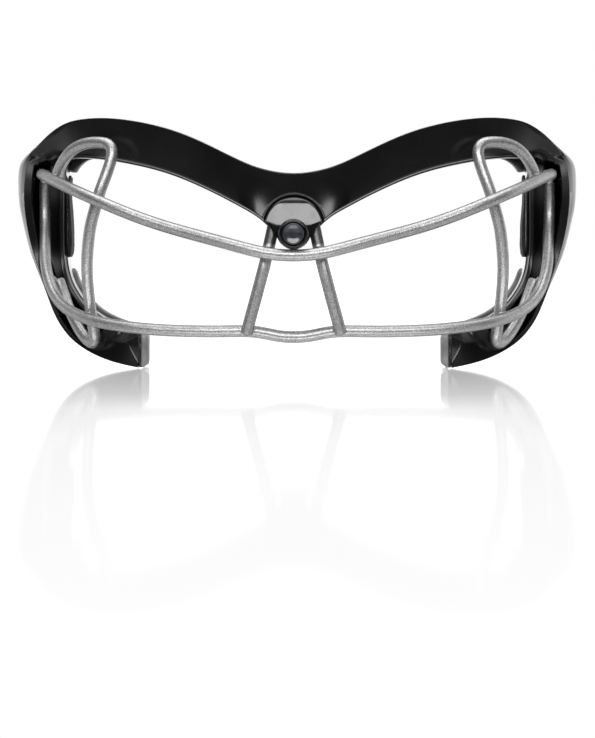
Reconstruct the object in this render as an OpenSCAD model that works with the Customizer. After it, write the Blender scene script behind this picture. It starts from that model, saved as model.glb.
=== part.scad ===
// Women's lacrosse goggles: a moulded frame, a welded wire cage and soft pads.
// Millimetres. +X is the wearer's left as seen from the front, -Y is the front, +Z is up.
// The origin is at the middle of the footprint, on the surface the goggles stand on.

/* [Wire cage] */
// Diameter of the cage wire
wire_d = 3.2; // [2.8:0.1:3.4]
// Sides of each swept wire
wire_sides = 12; // [8:2:16]
// Radius of the weld beads
bead_r = 1.25; // [0.9:0.05:1.5]

/* [Frame] */
// Thickness of the temple channel's outer wall
outer_wall = 2.2; // [1.8:0.1:2.6]
// Thickness of the temple channel's inner wall
inner_wall = 1.8; // [1.5:0.1:2.2]
// Depth of the open channel in each temple
channel_depth = 10; // [7:0.5:11]
// Crown of the brow's front face
crown = 0.2; // [0:0.1:1.2]

/* [Strap wings] */
// Thickness of the wing behind each temple
wing_t = 3; // [2.5:0.1:4]
// Length of the upright slot for the head strap
slot_len = 25; // [20:1:25]
// Width of the slot, front to back
slot_w = 5; // [4.5:0.5:6]

/* [Bridge] */
// Shank diameter of the bridge bolt
bolt_d = 3; // [2.5:0.5:3]
// Diameter of the bolt's dished head
head_d = 5.6; // [5.2:0.1:5.8]
// Outer diameter of the collar round the head
collar_d = 7.9; // [7.4:0.1:8]
// Radius of the domed bridge cover
cover_r = 7.5; // [7.3:0.1:7.6]
// Radius of the recess round the cover
recess_r = 8.2; // [8:0.1:8.6]
// Clearance of the bolt in its holes, on the radius
bolt_fit = 0.1; // [0.05:0.01:0.15]

/* [Pads] */
// Thickness of the brow pad
brow_pad_t = 5; // [4:0.5:6]
// Thickness of the temple pads
temple_pad_t = 1.3; // [1:0.1:2.4]
// Radius of the moulded plugs that hold the pads
plug_r = 1.6; // [1.4:0.1:1.6]

/* [Hidden] */
wr = wire_d / 2;
YS = -48;          // from the front-most plane to the middle of the footprint
bolt_z = 36.5;     // height of the bridge bolt
cover_z = 38.8;    // centre of the round cover

// Frame stations from the nose to the cheek end, for the +X half:
// [outer x, y, z,  inner x, y, z,  depth at the outer edge, depth at the inner edge, outward flare]
ST = [
 [ 0.0, 11.0, 52.6,   0.0, 10.6, 33.4,   6.0,  6.0, 0],
 [ 5.0, 11.2, 53.1,   5.0, 10.9, 36.6,   6.0,  6.0, 0],
 [10.5, 12.2, 54.5,   9.0, 11.8, 40.9,   6.0,  6.0, 0],
 [15.5, 13.4, 56.8,  13.5, 13.1, 43.4,   6.2,  6.0, 0],
 [21.0, 15.1, 59.6,  19.0, 14.8, 46.4,   6.5,  6.2, 0],
 [27.0, 17.4, 62.5,  25.5, 17.2, 49.6,   7.0,  6.5, 0],
 [33.0, 20.1, 64.9,  32.5, 20.2, 52.6,   7.5,  7.0, 0],
 [39.5, 23.6, 66.8,  39.5, 23.9, 54.8,   8.0,  7.5, 0],
 [46.0, 27.7, 68.2,  46.5, 28.3, 56.4,   9.0,  8.0, 0],
 [52.5, 32.0, 69.1,  52.5, 32.6, 57.6,  10.0,  8.5, 0],
 [58.5, 36.0, 69.2,  58.0, 36.6, 58.3,  11.0,  9.0, 0],
 [64.5, 40.2, 68.6,  62.5, 41.0, 58.6,  12.0, 10.0, 0],
 [69.5, 43.8, 66.0,  65.2, 45.2, 58.6,  13.5, 11.0, 0],
 [73.4, 46.4, 62.7,  66.2, 48.0, 58.5,  14.5, 11.5, 0],
 [76.7, 48.6, 58.6,  66.4, 50.4, 57.2,  15.5, 11.5, 4.2],
 [78.1, 50.2, 52.8,  66.4, 52.2, 52.0,  16.0, 11.5, 3.2],
 [78.3, 50.6, 46.5,  66.4, 53.0, 46.0,  16.0, 11.0, 3],
 [77.6, 50.6, 40.3,  66.4, 53.0, 40.0,  16.0, 11.0, 2.1],
 [76.4, 50.6, 34.4,  66.4, 53.0, 34.5,  15.0, 11.0, 1.8],
 [74.5, 50.0, 28.7,  66.2, 52.5, 29.2,  13.5, 10.5, 1.7],
 [72.4, 48.7, 22.9,  65.0, 51.0, 24.5,  12.5, 10.0, 0.8],
 [70.2, 46.5, 17.3,  62.6, 47.6, 20.6,  12.0, 10.0, 0],
 [67.6, 43.4, 12.2,  59.6, 43.2, 17.3,  11.5, 10.0, 0],
 [63.6, 39.0,  7.7,  56.2, 38.2, 14.7,  11.0, 10.0, 0],
 [58.6, 34.4,  4.5,  52.2, 33.2, 12.9,  10.5, 10.0, 0],
 [53.0, 29.8,  2.3,  48.2, 29.0, 11.6,  10.0, 10.0, 0],
 [47.6, 26.2,  1.0,  45.0, 25.6, 10.9,   9.5,  9.5, 0],
 [42.8, 23.6,  0.3,  42.5, 23.2, 10.6,   9.0,  9.0, 0]];

// Routes of the wires, as the control points of smooth curves (x, depth, z)
UP = [[0,3,30.8],[4.5,3.1,31],[9,3.6,31.7],[16,5.5,33.6],[25,8.8,36],[34,12,38.4],[43.5,14.4,41.6],
      [54.5,18.7,46.2],[62.5,27,49.6],[68,37,52],[71,43,53.4],[72.6,47,54],[72.9,51,54.1],[72.9,56,54.1],[72.9,60,54.1],[72.9,64,54.1]];
LO = [[0,9.4,9.2],[4,9.4,9.4],[8.5,9.4,10.5],[12.5,9.4,10.9],[20,10,10.7],[28.5,11.5,10.7],[37.5,13.5,11],
      [45.5,16,11.7],[53,20,12.7],[59.5,27,14.2],[65.2,35,16.8],[69,42,21],[71.3,46.6,27],[71.9,49.2,31.5],[72.4,53.5,36.5],[72.9,56.2,42],[73,56.6,47.5],[73,56.6,52.3]];
LP = [[66.6,38.3,54.3],[65.1,36,56.9],[63,33.6,59.4],[60.3,31.6,61.2],[57,29.6,62],[53.4,27.6,62],[50.8,26.2,61.4],[49.9,25.2,59.4],[50.1,24.6,57.1],
      [51.5,23.9,52.6],[53,22.9,48.7],[54.6,22.9,42.8],[55.8,23.2,38.8],[56.5,23.8,33.2],[56.9,24.6,27.8],[56.7,25.8,22.2],
      [56.3,27.5,16.7],[55.6,28.6,11.5],[55.1,29,8],[55.5,30.6,6.5],[57.5,33.2,6.9],[60.2,36.6,9.6],[62.7,40.4,13.4],[64.9,43.8,17.2],[66.4,46.2,20.8],[67.7,47.4,23.9]];
NW = [[12.5,6.1,10.1],[11.5,6.1,14],[10.1,6.1,19],[8.9,6.1,23.6],[7.7,6.2,28],[6.7,7.1,32.5],[6,8.3,35.8],[5.4,9.2,38.8],[4.7,9.5,41.2],[2.6,9.6,43.3],[0,9.6,43.8]];

function unit(v) = v / norm(v);
function mir(v) = [-v[0], v[1], v[2]];
function mirst(v) = [-v[0], v[1], v[2], -v[3], v[4], v[5], v[6], v[7], v[8]];
// A uniform cubic curve: k = 1 reflects it in the middle plane at its first point, k = 0 runs straight on
function cp(P, i, k) = i < 0 ? (k == 1 ? (len(P[0]) == 3 ? mir(P[-i]) : mirst(P[-i])) : 2 * P[0] - P[-i])
                     : i > len(P) - 1 ? 2 * P[len(P) - 1] - P[2 * (len(P) - 1) - i] : P[i];
function spl(P, t, k) = let (i = min(floor(t), len(P) - 2), u = t - i)
    ((1 - u) * (1 - u) * (1 - u) * cp(P, i - 1, k) + (3 * u * u * u - 6 * u * u + 4) * cp(P, i, k)
     + (-3 * u * u * u + 3 * u * u + 3 * u + 1) * cp(P, i + 1, k) + u * u * u * cp(P, i + 2, k)) / 6;
function sstep(a, b, x) = let (s = min(1, max(0, (x - a) / (b - a)))) s * s * (3 - 2 * s);

// A round wire swept along points Q
function tangents(Q) = let (n = len(Q)) [for (i = [0 : n - 1]) unit(Q[min(i + 1, n - 1)] - Q[max(i - 1, 0)])];
function normals(T, r0) = let (n0 = unit(r0 - T[0] * (T[0] * r0)))
    [for (i = 0, v = n0; i < len(T); i = i + 1, v = i < len(T) ? unit(v - T[i] * (T[i] * v)) : v) v];
module tube(Q, r, ref, sides = wire_sides) {
    n = len(Q); T = tangents(Q); N = normals(T, ref);
    pts = [for (i = [0 : n - 1]) for (j = [0 : sides - 1]) let (a = 360 * j / sides, b = cross(T[i], N[i]))
           Q[i] + r * (cos(a) * N[i] + sin(a) * b)];
    sd = [for (i = [0 : n - 2]) for (j = [0 : sides - 1]) let (k = (j + 1) % sides)
          each [[i * sides + j, (i + 1) * sides + j, (i + 1) * sides + k], [i * sides + j, (i + 1) * sides + k, i * sides + k]]];
    polyhedron(pts, concat([[for (j = [0 : sides - 1]) j]], sd, [[for (j = [sides - 1 : -1 : 0]) (n - 1) * sides + j]]), convexity = 6);
}
function half(P, s0, ds, k) = [for (t = [s0 : ds : len(P) - 1 + 0.001]) spl(P, min(t, len(P) - 1), k)];
function both(P, ds) = let (h = half(P, 0, ds, 1), n = len(h)) concat([for (i = [n - 1 : -1 : 1]) mir(h[i])], h);

// Cross-section of the frame at station t: a closed brow, an open channel at the temple, a closed cheek arm
// f runs from 0 at the outer wall to 1 at the inner wall: the channel's upper end slants
function pocket(t, f) = channel_depth * sstep(14.2 - 0.85 * f, 14.5 - 0.85 * f, t) * (1 - 0.45 * sstep(21, 24, t)) * (1 - sstep(23.9, 24.25, t));
function rim(t) = outer_wall * (1 - 0.45 * sstep(19, 22, t));
function section(t) = let (s = spl(ST, t, 1), O = [s[0], s[1], s[2]], I = [s[3], s[4], s[5]], W = norm(I - O), u = (I - O) / W,
        c = pocket(t, 0), cm = pocket(t, 0.5), ci = pocket(t, 1), f = crown * (1 - ci / channel_depth), B = [s[8], 1, 0], y = [0, 1, 0])
    [O + u * 0.1 + 1.1 * y, O + u * 0.7, O + u * (rim(t) - 0.2) - 0.3 * f * y, O + u * rim(t) + (c - 0.4 * f) * y,
     O + u * W / 2 + (cm - f) * y,
     I - u * inner_wall + (ci - 0.4 * f) * y, I - u * (inner_wall - 0.3) - 0.3 * f * y, I - u * 0.8, I - u * 0.1 + 1.0 * y,
     I + (s[7] - 0.8) * y, I - u * 1.0 + s[7] * y,
     O + u * 1.6 + s[6] * y + [s[8], 0, 0], O + u * 0.6 + (s[6] - 0.6) * y + [s[8], 0, 0], O - 0.15 * u + (s[6] * 0.6) * y + [0.96 * s[8], 0, 0], O - 0.2 * u + (s[6] * 0.3) * y + [0.68 * s[8], 0, 0]];
FT = concat([for (t = [0 : 0.5 : 13]) t], [13.2, 13.35, 13.5, 13.65, 13.8, 13.95, 14.1, 14.2, 14.35, 14.5, 14.8], [for (t = [15.25 : 0.5 : 23.75]) t], [23.9, 24.02, 24.14, 24.25, 24.7], [for (t = [25.25 : 0.5 : 26.75]) t], [27]);
module frame_shell() {
    h = [for (t = FT) section(t)]; nh = len(h); m = len(h[0]);
    rings = concat([for (i = [nh - 1 : -1 : 1]) [for (p = h[i]) mir(p)]], h); n = len(rings);
    pts = [for (r = rings) each r];
    sd = [for (i = [0 : n - 2]) for (j = [0 : m - 1]) let (k = (j + 1) % m)
          each [[i * m + j, (i + 1) * m + k, i * m + k], [i * m + j, (i + 1) * m + j, (i + 1) * m + k]]];
    polyhedron(pts, concat([[for (j = [0 : m - 1]) j]], sd, [[for (j = [m - 1 : -1 : 0]) (n - 1) * m + j]]), convexity = 10);
}
// A cylinder along the depth axis, from depth a to depth b
module rod(x, z, r, a, b, fn = 48) { translate([x, a, z]) rotate([-90, 0, 0]) cylinder(h = b - a, r = r, $fn = fn); }
// Where each pad's plugs go into the frame: [station, fraction of the width]
BROW_PLUGS = [3.5, 7.5, 11];
CHEEK_PLUGS = [23.6, 26.1];
function back_at(t, f) = let (s = spl(ST, t, 1), D = [s[3] - s[0], s[4] - s[1], s[5] - s[2]], W = norm(D),
        g = min(1, max(0, (f * W - 1.6 + s[8]) / (W - 2.6 + s[8]))), ya = s[1] + D[1] * 1.6 / W + s[6], yb = s[4] - D[1] / W + s[7])
    [s[0] + D[0] * f, ya + (yb - ya) * g, s[2] + D[2] * f];
module plug(t, f, r, a, b) { p = back_at(t, f); rod(p[0], p[2], r, p[1] + a, p[1] + b, 32); }
module both_sides() { children(); mirror([1, 0, 0]) children(); }

// The wing behind each temple, with its upright strap slot
WING_X = 76.2;
SLOT_Y = 89.5;
SLOT_Z = 45;
module wing() {
    e = slot_len / 2 + 2.5;   // half the height of the slotted end
    r = 5;
    difference() {
        union() {
        translate([WING_X, 0, 0]) rotate([90, 0, 90]) linear_extrude(height = wing_t)
            union() {
                polygon([[61, 41], [66, 38], [72, 34.5], [79, SLOT_Z - e + 1], [SLOT_Y - 3, SLOT_Z - e], [91, SLOT_Z - e], [91, SLOT_Z + e],
                         [SLOT_Y - 6, SLOT_Z + e], [74, SLOT_Z + e - 0.8], [66, 57.5], [61, 55]]);
                translate([90.9, SLOT_Z - e + r]) square([5.1, 2 * (e - r)]);
                translate([91, SLOT_Z - e + r]) circle(r, $fn = 48);
                translate([91, SLOT_Z + e - r]) circle(r, $fn = 48);
            }
        // a raised land round the slot takes the strap clear of the temple
        translate([WING_X + wing_t - 0.1, 0, 0]) rotate([90, 0, 90]) linear_extrude(height = 0.5)
            union() {
                translate([79, SLOT_Z - e + 1.5]) square([11.5, 2 * e - 3]);
                translate([90.4, SLOT_Z - e + 5.5]) square([4.1, 2 * e - 11]);
                translate([90.5, SLOT_Z - e + 5.5]) circle(4, $fn = 48);
                translate([90.5, SLOT_Z + e - 5.5]) circle(4, $fn = 48);
            }
        }
        for (s = [-1, 1]) translate([70, SLOT_Y, SLOT_Z + s * (slot_len - slot_w) / 2]) rotate([0, 90, 0]) cylinder(h = 20, d = slot_w, $fn = 48);
        translate([70, SLOT_Y - slot_w / 2, SLOT_Z - (slot_len - slot_w) / 2]) cube([20, slot_w, slot_len - slot_w]);
    }
}

module frame() {
    color("#141416") translate([0, YS, 0]) difference() {
        union() {
            frame_shell();
            both_sides() wing();
        }
        rod(0, cover_z, recess_r, 2, 12);
        rod(0, bolt_z, bolt_d / 2 + bolt_fit, 5, 30);
        both_sides() {
            rod(72.9, 54.1, wr + 0.1, 50, 64.6, 32);
            for (t = BROW_PLUGS) plug(t, 0.5, plug_r, -3.5, 8);
            for (t = CHEEK_PLUGS) plug(t, 0.5, plug_r, -3.5, 8);
            // seat for the bottom of each side loop
            rod(55.6, 7.5, 3.3, 20, 34.5, 48);
            rod(58.2, 8, 2.6, 20, 37.5, 40);
        }
    }
}

// Domed cover over the bend of the nose wire; its back sits in a recess in the frame
module bridge_cover() {
    color("#1d1d20") translate([0, YS, 0]) difference() {
        union() {
            difference() {
                translate([0, 11.9, cover_z]) rotate([90, 0, 0]) rotate_extrude($fn = 72)
                    polygon([[0, 0], [cover_r, 0], [cover_r, 2.4], [cover_r - 0.3, 3.8], [cover_r - 1, 5], [cover_r - 2.1, 5.9], [cover_r - 3.4, 6.4], [0, 6.6]]);
                // pocket for the bent wire, open at the back
                translate([0, 12, cover_z]) rotate([90, 0, 0]) rotate_extrude($fn = 72)
                    polygon([[3.2, -1], [cover_r - 0.55, -1], [cover_r - 0.55, 3.4], [cover_r - 1.4, 5.1], [3.2, 5.1]]);
                // the lower edge runs in to the boss on both sides
                both_sides() rotate([90, 0, 0]) translate([0, 0, -13])
                    linear_extrude(height = 13) polygon([[12, 40.2], [7.2, 39.6], [6.3, 38.5], [5.3, 37.2], [4.5, 35.9], [4.05, 35], [3.5, 34.1], [2.75, 33.4], [1.8, 32.8], [0.8, 32.45], [-0.1, 32.4], [-0.1, 28], [12, 28]]);
            }
            rod(0, bolt_z, 3.9, 5.6, 11.9);
        }
        rod(0, bolt_z, bolt_d / 2 + bolt_fit, 2, 13);
        rod(0, bolt_z, 4.2, 0, 5.55);
    }
}

module bridge_collar() {
    color("#0c0c0d") translate([0, YS, 0]) difference() {
        translate([0, 5.5, bolt_z]) rotate([90, 0, 0]) rotate_extrude($fn = 64)
            polygon([[bolt_d / 2 + bolt_fit, 0], [collar_d / 2, 0], [collar_d / 2, 2.6], [collar_d / 2 - 0.35, 3.5], [collar_d / 2 - 0.8, 3.8],
                     [head_d / 2 + 0.05, 3.3], [head_d / 2 + 0.05, 1.6], [bolt_d / 2 + bolt_fit, 1.6]]);
    }
}

module bridge_bolt() {
    color("#3d4148") translate([0, YS, 0]) union() {
        translate([0, 3.9, bolt_z]) rotate([90, 0, 0]) rotate_extrude($fn = 64)
            polygon([[0, 0], [head_d / 2, 0], [head_d / 2, 3.3], [head_d / 2 - 0.12, 3.7], [head_d / 2 - 0.4, 3.9], [head_d / 2 - 0.7, 3.8], [head_d / 2 - 1.6, 3.35], [0, 3.1]]);
        rod(0, bolt_z, bolt_d / 2, 3.8, 20.2);
    }
}

module bridge_washer() {
    color("silver") translate([0, YS, 0]) difference() {
        rod(0, bolt_z, 3.2, 17.1, 17.8);
        rod(0, bolt_z, bolt_d / 2 + bolt_fit, 16, 19);
    }
}

module bridge_nut() {
    color("silver") translate([0, YS, 0]) difference() {
        rod(0, bolt_z, 3.1, 17.85, 20.25, 6);
        rod(0, bolt_z, bolt_d / 2 + 0.02, 17, 21);
    }
}

module upper_wire() { color("#a9a9ab") translate([0, YS, 0]) tube(both(UP, 0.5), wr, [0, 0, 1]); }
module lower_wire() { color("#a9a9ab") translate([0, YS, 0]) tube(both(LO, 0.5), wr, [1, 0.2, 0.1]); }
module loop_wire() { tube(half(LP, 0, 0.5, 0), wr, [0, 1, 0]); }
module left_loop_wire() { color("#a9a9ab") translate([0, YS, 0]) loop_wire(); }
module right_loop_wire() { color("#a9a9ab") translate([0, YS, 0]) mirror([1, 0, 0]) loop_wire(); }
module nose_wire() {
    color("#a9a9ab") translate([0, YS, 0]) tube(both([for (i = [len(NW) - 1 : -1 : 0]) NW[i]], 0.5), wr, [0, 1, 0]);
}

// Weld beads, one pair at each crossing: [x, depth, z]
BEADS = [[12.2, 7.75, 10.9], [6.8, 4.9, 32.1], [53.8, 20.7, 46.1], [56.6, 25.7, 14], [67, 38, 53.4], [69.3, 46.4, 23.9], [72.3, 51, 52.4]];
module cage_welds() {
    color("#b4b4b6") translate([0, YS, 0]) both_sides() for (b = BEADS) translate(b) sphere(bead_r, $fn = 16);
}

// A strip of padding behind the frame from station a to b, between fractions f and g of its width
// The brow pad's inner edge rounds off the upper corner of the eye opening
function brow_in(t) = let (b = back_at(t, 0.98), a = 90 - 55 * (t - 10.1) / 3.9) t < 10.1 ? b : [58.4 + 8 * cos(a), b[1], 50.3 + 8 * sin(a)];
function strip_ring(t, f, g, gap, th, brow) = let (p = back_at(t, f), q = brow ? brow_in(t) : back_at(t, g), y = [0, 1, 0])
    [p + gap * y, q + gap * y, q + (gap + 0.75 * th) * y, q + (p - q) * 0.2 + (gap + th) * y, p + (q - p) * 0.2 + (gap + th) * y, p + (gap + 0.75 * th) * y];
module strip(TT, f, g, gap, th, two_sided, brow = false) {
    h = [for (t = TT) strip_ring(t, f, g, gap + (brow ? 0.8 * sstep(12.4, 13.6, t) : 0), th, brow)]; m = 6;
    rings = two_sided ? concat([for (i = [len(h) - 1 : -1 : 1]) [for (p = h[i]) mir(p)]], h) : h; n = len(rings);
    pts = [for (r = rings) each r];
    sd = [for (i = [0 : n - 2]) for (j = [0 : m - 1]) let (k = (j + 1) % m)
          each [[i * m + j, (i + 1) * m + k, i * m + k], [i * m + j, (i + 1) * m + j, (i + 1) * m + k]]];
    polyhedron(pts, concat([[for (j = [0 : m - 1]) j]], sd, [[for (j = [m - 1 : -1 : 0]) (n - 1) * m + j]]), convexity = 8);
}
module brow_pad() {
    union() {
        strip(concat([for (t = [1.9 : 0.6 : 9.7]) t], [for (t = [10.1 : 0.5 : 13.7]) t], [14]), 0.12, 0.98, 0.12, brow_pad_t, false, true);
        for (t = BROW_PLUGS) plug(t, 0.5, plug_r - 0.05, -3.3, 1);
    }
}
module left_brow_pad() { color("#d9d9db") translate([0, YS, 0]) brow_pad(); }
module right_brow_pad() { color("#d9d9db") translate([0, YS, 0]) mirror([1, 0, 0]) brow_pad(); }
module nose_pad() {
    color("#7b7b7e") translate([0, YS, 0]) difference() {
        strip([0, 0.4, 0.8, 1.2, 1.6], 0.1, 0.92, 0.3, 6, true);
        rod(0, bolt_z, 4.4, 15, 30);
    }
}
module cheek_pad() {
    union() {
        strip([19.4, 20.1, 20.8, 21.6, 22.4, 23.2, 24, 24.8, 25.6, 26.4, 27], 0.15, 1.1, 0.45, 7, false);
        for (t = CHEEK_PLUGS) plug(t, 0.5, plug_r - 0.05, -3.3, 1);
        // the pad's end wraps round the end of the arm
        translate([39.7, 23.4, 0.8]) cube([2.7, 4.2, 8.9]);
        translate([40.8, 24, 0.4]) cube([1.6, 14, 9.6]);
        translate([41, 33, 1.2]) cube([1.9, 6, 8.1]);
    }
}
module left_cheek_pad() { color("#8a8a8d") translate([0, YS, 0]) cheek_pad(); }
module right_cheek_pad() { color("#8a8a8d") translate([0, YS, 0]) mirror([1, 0, 0]) cheek_pad(); }
// Foam on the inner face of each temple
module temple_pad() {
    translate([66.05 - temple_pad_t, 54.5, 0]) rotate([90, 0, 90]) linear_extrude(height = temple_pad_t)
        polygon([[0, 31.5], [1.5, 30.3], [6, 30.3], [7, 31.5], [7, 52], [6, 54], [1.5, 54.2], [0, 53]]);
}
module left_temple_pad() { color("#26262a") translate([0, YS, 0]) temple_pad(); }
module right_temple_pad() { color("#26262a") translate([0, YS, 0]) mirror([1, 0, 0]) temple_pad(); }

frame();
bridge_cover();
bridge_collar();
bridge_bolt();
bridge_washer();
bridge_nut();
upper_wire();
lower_wire();
left_loop_wire();
right_loop_wire();
nose_wire();
cage_welds();
left_brow_pad();
right_brow_pad();
nose_pad();
left_cheek_pad();
right_cheek_pad();
left_temple_pad();
right_temple_pad();
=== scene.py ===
import bpy
import bmesh
import math
import numpy as np
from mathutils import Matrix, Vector, noise

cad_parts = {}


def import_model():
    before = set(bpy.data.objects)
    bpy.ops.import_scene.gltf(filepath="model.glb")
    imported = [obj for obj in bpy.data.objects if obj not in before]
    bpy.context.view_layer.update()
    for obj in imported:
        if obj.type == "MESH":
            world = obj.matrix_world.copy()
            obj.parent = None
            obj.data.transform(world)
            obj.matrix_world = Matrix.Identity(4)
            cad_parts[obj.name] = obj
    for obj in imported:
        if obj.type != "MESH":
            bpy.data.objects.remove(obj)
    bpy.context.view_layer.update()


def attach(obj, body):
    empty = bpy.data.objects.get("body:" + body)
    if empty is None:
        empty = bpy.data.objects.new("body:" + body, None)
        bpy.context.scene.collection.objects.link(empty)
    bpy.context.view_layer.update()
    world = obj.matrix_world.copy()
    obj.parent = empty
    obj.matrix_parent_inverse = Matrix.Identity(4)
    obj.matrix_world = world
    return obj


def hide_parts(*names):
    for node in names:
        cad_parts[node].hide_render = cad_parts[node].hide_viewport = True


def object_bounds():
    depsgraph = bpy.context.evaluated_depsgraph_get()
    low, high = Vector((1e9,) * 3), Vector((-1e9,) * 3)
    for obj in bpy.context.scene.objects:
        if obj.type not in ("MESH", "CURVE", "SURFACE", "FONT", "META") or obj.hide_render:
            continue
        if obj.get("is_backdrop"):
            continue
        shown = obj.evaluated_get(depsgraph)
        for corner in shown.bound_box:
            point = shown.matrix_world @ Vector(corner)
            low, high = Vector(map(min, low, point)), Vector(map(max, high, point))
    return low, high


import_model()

MM = 0.001
YS = -48.0                      # depth behind the front-most plane -> y of the frame
BOLT_Z, COVER_Z = 36.5, 38.8
WR = 1.6

# ---------------------------------------------------------------- camera
cam_data = bpy.data.cameras.new("camera")
cam = bpy.data.objects.new("camera", cam_data)
bpy.context.scene.collection.objects.link(cam)
cam.location = (0.0086, -0.548, 0.031)
cam.rotation_euler = (math.radians(90), 0, math.radians(0.857))
cam_data.sensor_width = 36
cam_data.lens = 93.8
cam_data.shift_y = -0.1545
cam_data.clip_start, cam_data.clip_end = 0.02, 60
bpy.context.scene.camera = cam

# ---------------------------------------------------------------- curves
ST = np.array([
 [0, 11, 52.6, 0, 10.6, 33.4, 6, 6, 0], [5, 11.2, 53.1, 5, 10.9, 36.6, 6, 6, 0], [10.5, 12.2, 54.5, 9, 11.8, 40.9, 6, 6, 0],
 [15.5, 13.4, 56.8, 13.5, 13.1, 43.4, 6.2, 6, 0], [21, 15.1, 59.6, 19, 14.8, 46.4, 6.5, 6.2, 0], [27, 17.4, 62.5, 25.5, 17.2, 49.6, 7, 6.5, 0],
 [33, 20.1, 64.9, 32.5, 20.2, 52.6, 7.5, 7, 0], [39.5, 23.6, 66.8, 39.5, 23.9, 54.8, 8, 7.5, 0], [46, 27.7, 68.2, 46.5, 28.3, 56.4, 9, 8, 0],
 [52.5, 32, 69.1, 52.5, 32.6, 57.6, 10, 8.5, 0], [58.5, 36, 69.2, 58, 36.6, 58.3, 11, 9, 0], [64.5, 40.2, 68.6, 62.5, 41, 58.6, 12, 10, 0],
 [69.5, 43.8, 66, 65.2, 45.2, 58.6, 13.5, 11, 0], [73.4, 46.4, 62.7, 66.2, 48, 58.5, 14.5, 11.5, 0], [76.7, 48.6, 58.6, 66.4, 50.4, 57.2, 15.5, 11.5, 4.2],
 [78.1, 50.2, 52.8, 66.4, 52.2, 52, 16, 11.5, 3.2], [78.3, 50.6, 46.5, 66.4, 53, 46, 16, 11, 3], [77.6, 50.6, 40.3, 66.4, 53, 40, 16, 11, 2.1],
 [76.4, 50.6, 34.4, 66.4, 53, 34.5, 15, 11, 1.8], [74.5, 50, 28.7, 66.2, 52.5, 29.2, 13.5, 10.5, 1.7], [72.4, 48.7, 22.9, 65, 51, 24.5, 12.5, 10, 0.8],
 [70.2, 46.5, 17.3, 62.6, 47.6, 20.6, 12, 10, 0], [67.6, 43.4, 12.2, 59.6, 43.2, 17.3, 11.5, 10, 0], [63.6, 39, 7.7, 56.2, 38.2, 14.7, 11, 10, 0],
 [58.6, 34.4, 4.5, 52.2, 33.2, 12.9, 10.5, 10, 0], [53, 29.8, 2.3, 48.2, 29, 11.6, 10, 10, 0], [47.6, 26.2, 1, 45, 25.6, 10.9, 9.5, 9.5, 0],
 [42.8, 23.6, 0.3, 42.5, 23.2, 10.6, 9, 9, 0]], float)
UP = np.array([[0, 3, 30.8], [4.5, 3.1, 31], [9, 3.6, 31.7], [16, 5.5, 33.6], [25, 8.8, 36], [34, 12, 38.4], [43.5, 14.4, 41.6], [54.5, 18.7, 46.2],
               [62.5, 27, 49.6], [68, 37, 52], [71, 43, 53.4], [72.6, 47, 54], [72.9, 51, 54.1], [72.9, 56, 54.1], [72.9, 60, 54.1], [72.9, 64, 54.1]], float)
LO = np.array([[0, 9.4, 9.2], [4, 9.4, 9.4], [8.5, 9.4, 10.5], [12.5, 9.4, 10.9], [20, 10, 10.7], [28.5, 11.5, 10.7], [37.5, 13.5, 11], [45.5, 16, 11.7],
               [53, 20, 12.7], [59.5, 27, 14.2], [65.2, 35, 16.8], [69, 42, 21], [71.3, 46.6, 27], [71.9, 49.2, 31.5], [72.4, 53.5, 36.5],
               [72.9, 56.2, 42], [73, 56.6, 47.5], [73, 56.6, 52.3]], float)
LP = np.array([[66.9, 39, 52.9], [66.6, 38.3, 54.3], [65.1, 36, 56.9], [63, 33.6, 59.4], [60.3, 31.6, 61.2], [57, 29.6, 62], [53.4, 27.6, 62], [50.8, 26.2, 61.4],
               [49.9, 25.2, 59.4], [50.1, 24.6, 57.1], [51.5, 23.9, 52.6], [53, 22.9, 48.7], [54.6, 22.9, 42.8], [55.8, 23.2, 38.8], [56.5, 23.8, 33.2],
               [56.9, 24.6, 27.8], [56.7, 25.8, 22.2], [56.3, 27.5, 16.7], [55.6, 28.6, 11.5], [55.1, 29, 8], [55.5, 30.6, 6.5], [57.5, 33.2, 6.9],
               [60.2, 36.6, 9.6], [62.7, 40.4, 13.4], [64.9, 43.8, 17.2], [66.4, 46.2, 20.8], [67.7, 47.4, 23.9]], float)
NW = np.array([[12.5, 6.1, 10.1], [11.5, 6.1, 14], [10.1, 6.1, 19], [8.9, 6.1, 23.6], [7.7, 6.2, 28], [6.7, 7.1, 32.5], [6, 8.3, 35.8], [5.4, 9.2, 38.8],
               [4.7, 9.5, 41.2], [2.6, 9.6, 43.3], [0, 9.6, 43.8]], float)
BEADS = [[12.2, 7.75, 10.9], [6.8, 4.9, 32.1], [53.8, 20.7, 46.1], [56.6, 25.7, 14], [67, 38, 53.4], [69.3, 46.4, 23.9], [72.3, 51, 52.4]]
YV = np.array([0.0, 1.0, 0.0])
XV = np.array([1.0, 0.0, 0.0])


def mir(v):
    w = np.array(v, float)
    w[0] = -w[0]
    if len(w) == 9:
        w[3] = -w[3]
    return w


def cp(P, i, k):
    n = len(P)
    if i < 0:
        return mir(P[-i]) if k else 2 * P[0] - P[-i]
    if i > n - 1:
        return 2 * P[n - 1] - P[2 * (n - 1) - i]
    return P[i]


def spl(P, t, k):
    i = min(int(math.floor(t)), len(P) - 2)
    u = t - i
    return ((1 - u) ** 3 * cp(P, i - 1, k) + (3 * u ** 3 - 6 * u * u + 4) * cp(P, i, k)
            + (-3 * u ** 3 + 3 * u * u + 3 * u + 1) * cp(P, i + 1, k) + u ** 3 * cp(P, i + 2, k)) / 6


def sstep(a, b, x):
    s = min(1.0, max(0.0, (x - a) / (b - a)))
    return s * s * (3 - 2 * s)


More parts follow.
